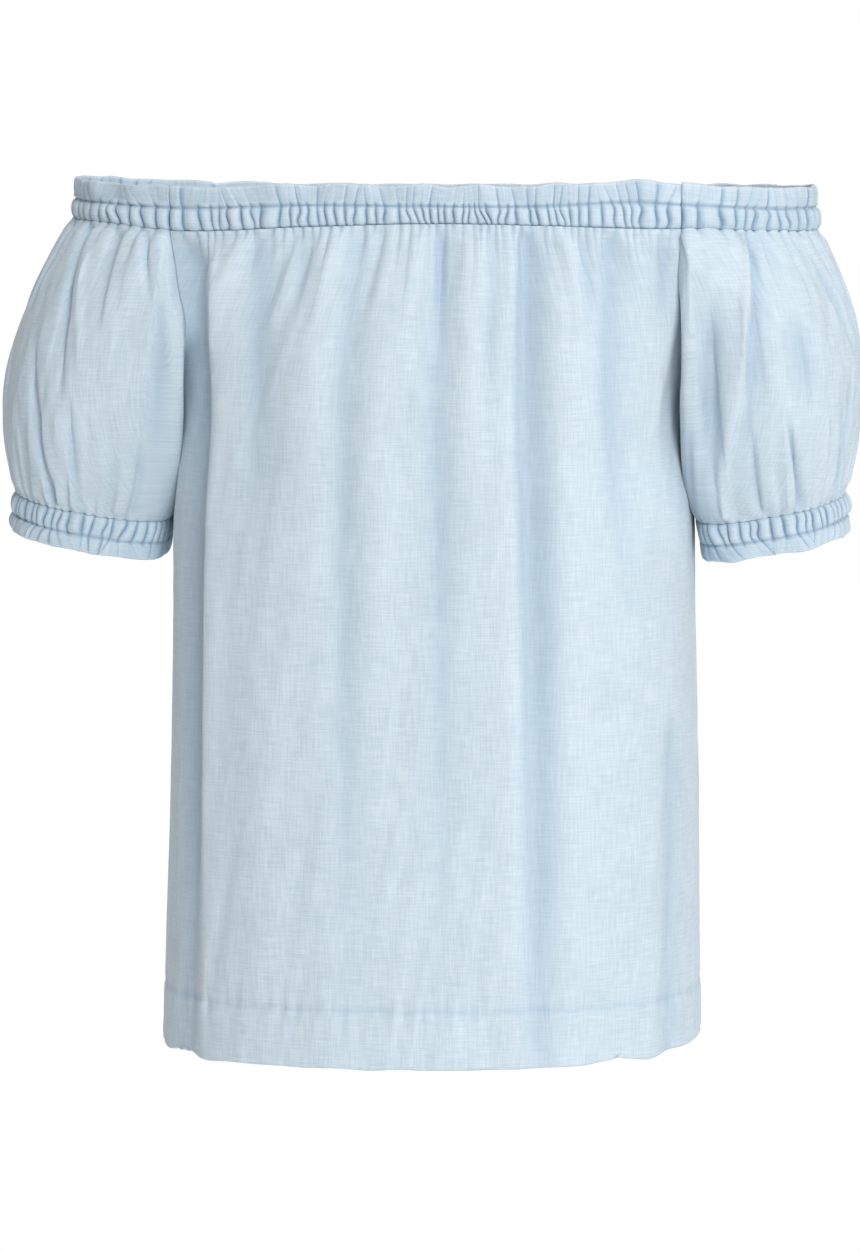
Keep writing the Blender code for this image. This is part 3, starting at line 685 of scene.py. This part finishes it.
def cuff_point(angle, out, height, side):
    """A point of the cuff ring. The angle goes round the arm: 0 front, 90 degrees outside."""
    centre, across, back_way, up = cuff_frame(side)
    beside_body = 1 - ease((np.abs(np.degrees(angle) % 360 - 270) - 15) / 45)
    out = out * (1 - CUFF_CALM * beside_body)
    ring = CUFF_RINGS[side]
    n = 2 + CUFF_FLATNESS * ease(0.5 - 0.5 * np.sin(angle))
    across_share = np.abs(np.sin(angle) / ring.half_width)
    deep_share = np.abs(np.cos(angle) / ring.half_depth)
    reach = (across_share**n + deep_share**n) ** (-1 / n)
    wide = (reach + out) * np.sin(angle)
    deep = -(reach + out) * np.cos(angle)
    height = height + 0 * angle
    return centre + wide[..., None] * across + deep[..., None] * back_way + height[..., None] * up


def side_edges(side):
    """Where the gathers of a sleeve's top edge meet."""
    return gather_edges(SIDE_GATHERS, 13 if side > 0 else 14)


def cuff_edges(side):
    """Where the gathers round a cuff meet."""
    return gather_edges(CUFF_GATHERS, 15 if side > 0 else 16)


def sleeve_start(side):
    """The sleeve's top edge as a loop, with its outward directions and the angle round the cuff below."""
    heights = raglan_heights(ARMHOLE_ROWS)
    front_angle = raglan_angle(heights, "front", side)
    back_angle = math.pi - raglan_angle(heights, "back", side)
    seam_front = body_point(front_angle, heights, side=side)
    seam_front[:, 2] += neck_lift(front_angle, side=side) * lift_fade(heights)
    seam_back = body_point(back_angle, heights, side=side)
    seam_back[:, 2] += neck_lift(back_angle, side=side) * lift_fade(heights)
    places = gather_columns(side_edges(side), SLEEVE_STEPS)
    angle = front_angle[0] + (back_angle[0] - front_angle[0]) * places
    top = body_point(angle, PANEL_TOP + 0 * angle, side=side)
    top[:, 2] += neck_lift(angle, side=side)
    points = np.concatenate([top[:-1], seam_back[:-1], seam_front[::-1][:-1]])
    points = points + np.array([SEAM_GAP, 0, 0])
    normals = np.concatenate(
        [
            level_normal(angle, PANEL_TOP + 0 * angle)[:-1],
            raglan_normal(heights, "back", side)[:-1],
            raglan_normal(heights, "front", side)[::-1][:-1],
        ]
    )
    over = FRONT_CORNER + (BACK_CORNER - FRONT_CORNER) * places[:-1]
    under = np.linspace(BACK_CORNER, 360 + FRONT_CORNER, 2 * ARMHOLE_ROWS + 1)[:-1]
    return points, normals, np.concatenate([over, under]), places[:-1]


def sleeve_fold_out(folds, share, down):
    """How far the sleeve's folds move it outwards."""
    out = np.zeros(np.broadcast(share, down).shape)
    for fold in folds:
        below = (down - fold.start) / (fold.end - fold.start)
        middle = fold.round + (fold.low_round - fold.round) * np.clip(below, 0, 1)
        across = (share - middle + 0.5) % 1 - 0.5
        across = across / np.where(across < 0, fold.before, fold.after)
        strength = 1 - ease((below - 0.45) / 0.55) if fold.end <= 1 else 1.0
        strength = strength * (ease(below / 0.35) if fold.start > 0 else 1.0)
        out -= fold.depth * np.exp(-np.abs(across) ** 1.7) * strength
    return out


def make_sleeve(name, side, folds, seed):
    """A sleeve as a closed tube of columns that run from its top edge to the cuff."""
    start, start_normal, angles, places = sleeve_start(side)
    mirror = np.array([side, 1, 1])
    turn = np.radians(angles)
    cuff_top = CASING_HEIGHT / 2 + SEAM_GAP
    end = cuff_point(turn, 0.0, cuff_top, side) * mirror
    end_normal = unit(end - cuff_point(turn, -0.01, cuff_top, side) * mirror)
    down_arm = -cuff_frame(1)[3]
    armhole = angles > BACK_CORNER
    outwards = np.stack([np.sin(turn), -np.cos(turn), 0 * turn], axis=-1)
    sideways = outwards * np.array([0, 1, 0])
    front_half = turn > 1.5 * math.pi
    corner = np.where(front_half, 2 * math.pi + math.radians(FRONT_CORNER), math.radians(BACK_CORNER))
    from_corner = ease(np.abs(turn - corner) / CORNER_TURN)[:, None]
    forward = sideways * from_corner + outwards * (1 - from_corner)
    corner_normal = start_normal[np.where(front_half, 0, len(places))] * np.array([1, 1, 0])
    level = np.where(
        armhole[:, None],
        forward * from_corner + corner_normal * (1 - from_corner),
        start_normal * np.array([1, 1, 0]),
    )
    pull = {key: smooth(SLEEVE_PULLS, key, angles, "angle")[:, None] for key in Pull._fields[1:]}
    leave = level * pull["leave_out"] - np.array([0, 0, 1.0]) * pull["leave_down"]
    reach = -end_normal * pull["reach_in"] + down_arm * pull["reach_down"]
    down = np.linspace(0, 1, SLEEVE_ROWS + 1)
    down = ease(down) * EASED_ROWS + down * (1 - EASED_ROWS)
    down = down[:, None, None]
    base = (
        (2 * down**3 - 3 * down**2 + 1) * start
        + (down**3 - 2 * down**2 + down) * leave
        + (3 * down**2 - 2 * down**3) * end
        + (down**3 - down**2) * reach
    )
    down = down[:, :, 0]
    count = len(angles)
    share = np.arange(count)[None, :] / count
    girth = np.linalg.norm(np.roll(base, -1, axis=1) - base, axis=-1).sum(axis=1, keepdims=True)
    along = share * girth.mean()
    fall = np.linalg.norm(np.diff(base, axis=0), axis=-1).sum(axis=0)[None, :]
    from_top = down * fall
    from_foot = (1 - down) * fall
    over = ~armhole[None, :]
    draw = np.random.default_rng(seed)
    edges = side_edges(side)
    bump, which = pucker(places, edges)
    bump = np.concatenate([bump, np.zeros(count - len(bump))])[None, :]
    rise = draw.uniform(0.5, 1.25, len(edges))[which]
    fade = (0.005 + 0.022 * draw.random(len(edges)) ** 3)[which]
    rise = np.concatenate([rise, np.zeros(count - len(rise))])[None, :]
    fade = np.concatenate([fade, np.ones(count - len(fade)) * 0.01])[None, :]
    top_gathers = GATHER_RISE * bump * rise * np.exp(-from_top / fade)
    cuff_bump, cuff_which = pucker(((angles % 360) / 360)[None, :], cuff_edges(side))
    cuff_fade = (0.004 + 0.020 * draw.random(CUFF_GATHERS + 1) ** 3)[cuff_which]
    cuff_gathers = CUFF_GATHER_RISE * cuff_bump * np.exp(-from_foot / cuff_fade)
    wide = wave_ripple(BESIDE_GATHERS, along, from_top, seed + 1)
    wide = BESIDE_GATHERS.height * wide * (np.exp(-from_top / 0.025) * over + np.exp(-from_foot / 0.025))
    broad = SLEEVE_SWELL.height * wave_ripple(SLEEVE_SWELL, along, from_top, seed + 2)
    small = SLEEVE_CREASES.height * wave_ripple(SLEEVE_CREASES, along, from_top, seed + 3)
    folds_out = sleeve_fold_out(folds, share, down)
    held = ease(from_top / 0.010) * ease(from_foot / 0.008)
    blouse = SLEEVE_BLOUSE * np.exp(-from_top / 0.03) * over + SLEEVE_BLOUSE * np.exp(-from_foot / 0.02)
    next_to_body = ease((np.abs(angles - 270) - 35) / 40)[None, :]
    next_to_body = np.where(armhole[None, :], next_to_body, 1.0)
    soft = (wide + broad + folds_out + blouse) * held * next_to_body
    normal = surface_normals(base, True)
    outer = base + (top_gathers + cuff_gathers * next_to_body + soft + small * held)[..., None] * normal
    normal = surface_normals(outer, True)
    normal[0] = start_normal
    normal[-1] = end_normal
    inner = outer - CLOTH * normal
    # Painted shade and highlight: darker in the creases of the gathers at the top and at the cuff and in fold
    # valleys, paler on the gathers' tops and on fold ridges.
    shade_and_highlight = np.clip((bump - 0.75) * np.exp(-from_top / (0.6 * fade)), -1, 0.3) * (rise > 0)
    shade_and_highlight = shade_and_highlight + np.clip((cuff_bump - 0.75) * np.exp(-from_foot / (0.6 * cuff_fade)), -1, 0.3)
    shade_and_highlight = np.clip(shade_and_highlight + np.clip(folds_out / 0.006, -0.6, 0.3), -1, 1)
    level_step = np.linalg.norm(np.diff(base[..., :2], axis=1), axis=-1)
    round_arm = np.concatenate([np.zeros((SLEEVE_ROWS + 1, 1)), np.cumsum(level_step, axis=1)], axis=1)
    outside = int(np.argmin(np.abs(angles - 90)))
    uv = np.stack([round_arm - round_arm[:, outside : outside + 1], base[..., 2]], axis=-1)
    if side < 0:
        outer, inner = (grid[:, ::-1] * mirror for grid in (outer, inner))
        uv, shade_and_highlight = uv[:, ::-1], shade_and_highlight[:, ::-1]
    made = make_cloth(name, outer, inner, uv, shade_and_highlight, chambray, closed=True)
    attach(made, "root")
    return made


left_sleeve = make_sleeve("left_sleeve_cloth", 1, LEFT_FOLDS, 61)
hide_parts("sleeve_left")
right_sleeve = make_sleeve("right_sleeve_cloth", -1, RIGHT_FOLDS, 81)
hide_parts("sleeve_right")

# Neck casing and its standing frill: the top of every panel is turned in, and two rows of stitches hold a
# channel for the elastic, which draws it into small tube-like gathers. The fold above stands up as a frill.
HEADING_HEIGHT = 0.0112
CASING_CLOTH = 0.0014
FINE_STEPS = (0.0, 0.05, 0.16, 0.34, 0.58, 0.80, 0.93)

# The gathered bands are the same chambray painted darker, a shaded copy: painted shade for the shade among
# the gathers, with a deeper blue for the painted shade in their creases.
shaded_gathered_chambray = woven_chambray("shaded_gathered_chambray", "#abc0cf", "#c4d2dc", "#5f86a6", "#e6ecef", 0.9)

# Rows of a gathered band: along is 0 to 1 through the casing and 1 to 2 through the frill, gather is how
# far its tubes stand out, frill how far its flutes swing, and pinch how far the stitches hold it in
BandRow = namedtuple("BandRow", "along gather frill pinch")
BAND = (
    BandRow(0.00, 0.40, 0.00, 0.0011),
    BandRow(0.10, 0.75, 0.00, 0.0004),
    BandRow(0.25, 1.00, 0.00, 0.0000),
    BandRow(0.50, 1.10, 0.00, -0.0002),
    BandRow(0.75, 1.00, 0.00, 0.0000),
    BandRow(0.90, 0.75, 0.00, 0.0004),
    BandRow(1.00, 0.40, 0.05, 0.0013),
    BandRow(1.10, 0.70, 0.20, 0.0003),
    BandRow(1.35, 0.85, 0.55, -0.0005),
    BandRow(1.70, 0.80, 0.90, -0.0007),
    BandRow(2.00, 0.60, 1.00, -0.0004),
)
BAND_ROWS = 34
TUBE_RISE = 0.0022
FRILL_SWING = 0.0009
FRILL_DIP = 0.0004
# The share of gathers that stand up through the frill as a fold
FOLDED_GATHERS = 0.42
# A casing's mean radius and a cuff's girth, which lay the weave out along them
CASING_RADIUS = 0.17
CUFF_GIRTH = 0.285


def band_grids(place, frill_height, edges, seed, swing, lean):
    """Points of a gathered band, outside and inside, with its painted shade and highlight.

    place(share, out, height, dip) gives a point of it.
    """
    draw = np.random.default_rng(seed)
    along = np.linspace(2, 0, BAND_ROWS + 1)
    places = gather_columns(edges, FINE_STEPS)
    bump, which = pucker(places, edges)
    within = (places - edges[which]) / np.diff(edges)[np.minimum(which, len(edges) - 2)]
    count = len(edges)
    width = np.diff(edges).mean()
    wide = np.append(np.diff(edges), width) / width
    rises = draw.uniform(0.55, 1.25, count) * np.clip(wide, 0.5, 1.25)
    leans = np.convolve(lean + 0.40 * draw.standard_normal(count), (0.25, 0.5, 0.25), "same")
    curls = 0.07 * draw.standard_normal(count)
    slants = np.convolve(0.9 * draw.standard_normal(count), (0.25, 0.5, 0.25), "same")
    for bend in (leans, curls, slants):
        bend[[0, -1]] = 0
    folded = draw.random(count) < FOLDED_GATHERS
    frill_rise = np.where(folded, draw.uniform(0.7, 1.3, count), draw.uniform(0.0, 0.25, count))
    steep = within**1.6 * (1 - within**10)
    outer, inner, shade_and_highlight_rows = [], [], []
    for a in along:
        gather, frill, pinch = (smooth(BAND, key, a, "along") for key in ("gather", "frill", "pinch"))
        in_casing = 1 - float(ease((a - 1.0) / 0.3))
        shift = leans * (min(a, 1) - 0.5) + curls * math.sin(2 * math.pi * min(a, 1)) + slants * max(a - 1, 0)
        shares = gather_columns(edges + width * shift, FINE_STEPS)
        height = CASING_HEIGHT * (min(a, 1) - 0.5) + frill_height * max(a - 1, 0)
        shape = bump * rises[which] * in_casing + steep * frill_rise[which] * (1 - in_casing)
        tubes = TUBE_RISE * gather * shape
        u = shares / width
        flutes = swing * frill * ripple(u, 0 * u, seed + 1, (3.5, 8.0), (1, 2), 10)
        out = tubes + flutes - pinch
        dip = FRILL_DIP * frill * ripple(u, 0 * u, seed + 2, (3.0, 9.0), (1, 2), 8)
        outer.append(place(shares, out, height, dip))
        inner.append(place(shares, flutes - pinch - CASING_CLOTH + 0.45 * tubes, height, dip))
        # Painted shade and highlight: darker in the hollows between gathers and along the two stitch rows, a
        # thin painted highlight beside each crease, and paler towards the frill's folded top edge.
        hollow_shade = (bump - 0.8) * 1.1 * gather * (in_casing + frill_rise[which] * (1 - in_casing))
        painted_highlight = 0.6 * np.exp(-(((within - 0.86) / 0.07) ** 2)) * gather * (0.4 + 0.6 * rises[which])
        line = 0.45 * (np.exp(-((a / 0.06) ** 2)) + np.exp(-(((a - 1) / 0.07) ** 2)))
        edge = 0.4 * ease((a - 1.88) / 0.12)
        shade_and_highlight_rows.append(np.clip(hollow_shade + painted_highlight - line + edge, -1, 1))
    return np.array(outer), np.array(inner), np.array(shade_and_highlight_rows), along, places


def neck_place(first, last):
    """Gives the function that places a point of the neck casing between two angles."""

    def place(share, out, height, dip):
        angle = first + (last - first) * share
        flat = body_point(angle, PANEL_TOP + 0 * angle)
        flat = flat + level_normal(angle, PANEL_TOP + 0 * angle) * np.asarray(out + 0 * share)[:, None]
        up = min(height / CASING_HEIGHT + 0.5, 1)
        flat[:, 2] = height + dip + neck_lift(angle) * (1 - up) + neck_lift(angle, "top") * up
        return flat

    return place


front_right, front_left = (raglan_angle(PANEL_TOP, "front", side) for side in (-1, 1))
back_right, back_left = (raglan_angle(PANEL_TOP, "back", side) for side in (-1, 1))
Length = namedtuple("Length", "name start end edges seed lean")
LENGTHS = (
    Length("front", -front_right, front_left, panel_edges("front"), 101, -0.15),
    Length("left", front_left, math.pi - back_left, side_edges(1), 121, 0.10),
    Length("back", math.pi - back_left, math.pi + back_right, panel_edges("back"), 141, 0.10),
    Length("right", math.pi + back_right, 2 * math.pi - front_right, 1 - side_edges(-1)[::-1], 161, -0.10),
)
for length in LENGTHS:
    inset = (SEAM_GAP / 2) / smooth(BODY, "half_width", PANEL_TOP)
    place = neck_place(length.start + inset, length.end - inset)
    outer, inner, shade_and_highlight_rows, along, places = band_grids(
        place, HEADING_HEIGHT, length.edges, length.seed, FRILL_SWING, length.lean
    )
    across = places * (length.end - length.start) * CASING_RADIUS
    uv = np.stack(np.broadcast_arrays(across[None, :], along[:, None] * CASING_HEIGHT), axis=-1)
    casing = make_cloth("neck_casing_" + length.name + "_cloth", outer, inner, uv, shade_and_highlight_rows, shaded_gathered_chambray)
    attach(casing, "root")
    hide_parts("neck_casing_" + length.name)
    ring = float(np.linalg.norm(np.diff(outer[BAND_ROWS * 3 // 4], axis=0), axis=-1).sum())

# Cuffs: the sleeve's lower edge is turned up and stitched twice over a narrow elastic, and the fold below
# the stitches hangs as a small frill.
CUFF_FRILL_HEIGHT = 0.0088
CUFF_SWING = 0.0007
for side, word, seed in ((1, "left", 181), (-1, "right", 201)):

    def place(share, out, height, dip):
        return cuff_point(2 * math.pi * share, out + 0 * share, -(height + dip), side)

    outer, inner, shade_and_highlight_rows, along, places = band_grids(
        place, CUFF_FRILL_HEIGHT, cuff_edges(side), seed, CUFF_SWING, 0.1
    )
    outer, inner, shade_and_highlight_rows, along = outer[::-1], inner[::-1], shade_and_highlight_rows[::-1], along[::-1]
    uv = np.stack(np.broadcast_arrays(places[None, :] * CUFF_GIRTH, -along[:, None] * CASING_HEIGHT), axis=-1)
    outer, inner, shade_and_highlight_rows = outer[:, :-1], inner[:, :-1], shade_and_highlight_rows[:, :-1]
    if side < 0:
        outer, inner, shade_and_highlight_rows, uv = outer[:, ::-1], inner[:, ::-1], shade_and_highlight_rows[:, ::-1], uv[:, ::-1]
    cuff = make_cloth("cuff_" + word + "_cloth", outer, inner, uv, shade_and_highlight_rows, shaded_gathered_chambray, closed=True)
    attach(cuff, "root")
    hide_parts("cuff_casing_" + word)

# Soft studio light: a large window-like panel in front to the right, a weaker one overhead and one behind,
# in a white room that lights the shadows, over a plain pale floor.
Panel = namedtuple("Panel", "name place size power")
PANELS = (
    Panel("key_light", (1.9, -5.2, 2.2), 2.2, 235.0),
    Panel("side_light", (3.6, -0.6, 0.8), 2.0, 26.0),
    Panel("top_light", (0.2, -0.6, 2.6), 1.8, 20.0),
    Panel("back_light", (-1.2, 2.6, 1.0), 2.0, 20.0),
)
for panel in PANELS:
    light = bpy.data.lights.new(panel.name, "AREA")
    light.size = panel.size
    light.energy = panel.power
    lamp = bpy.data.objects.new(panel.name, light)
    lamp.location = panel.place
    x, y, z = (aim - stand for aim, stand in zip((0, 0, -0.2), panel.place))
    lamp.rotation_euler = (math.atan2(math.hypot(x, y), -z), 0, math.atan2(-x, y))
    bpy.context.scene.collection.objects.link(lamp)

world = bpy.data.worlds.new("white_room")
world.use_nodes = True
background = world.node_tree.nodes["Background"]
background.inputs["Color"].default_value = (1, 1, 1, 1)
ray = add_node(world.node_tree, "ShaderNodeLightPath", {})
seen = add_node(
    world.node_tree,
    "ShaderNodeMapRange",
    {"To Min": 0.33, "To Max": 1.0},
    [("Value", ray.outputs["Is Camera Ray"])],
)
world.node_tree.links.new(seen.outputs["Result"], background.inputs["Strength"])
bpy.context.scene.world = world
bpy.context.scene.view_settings.view_transform = "Standard"

FLOOR = -1.2
FLOOR_HALF = 2.4
floor_corners = [(x * FLOOR_HALF, y * FLOOR_HALF, FLOOR) for x, y in ((-1, -1), (1, -1), (1, 1), (-1, 1))]
floor_mesh = bpy.data.meshes.new("floor")
floor_mesh.from_pydata(floor_corners, [], [(0, 1, 2, 3)])
floor = bpy.data.objects.new("floor", floor_mesh)
bpy.context.scene.collection.objects.link(floor)
paint = bpy.data.materials.new("matt_pale_floor_paint")
paint.use_nodes = True
floor_surface = paint.node_tree.nodes["Principled BSDF"]
floor_surface.inputs["Base Color"].default_value = hex_colour("#f7f7f7")
floor_surface.inputs["Roughness"].default_value = 0.9
floor_surface.inputs["Emission Color"].default_value = (1, 1, 1, 1)
floor_surface.inputs["Emission Strength"].default_value = 0.3
floor_mesh.materials.append(paint)
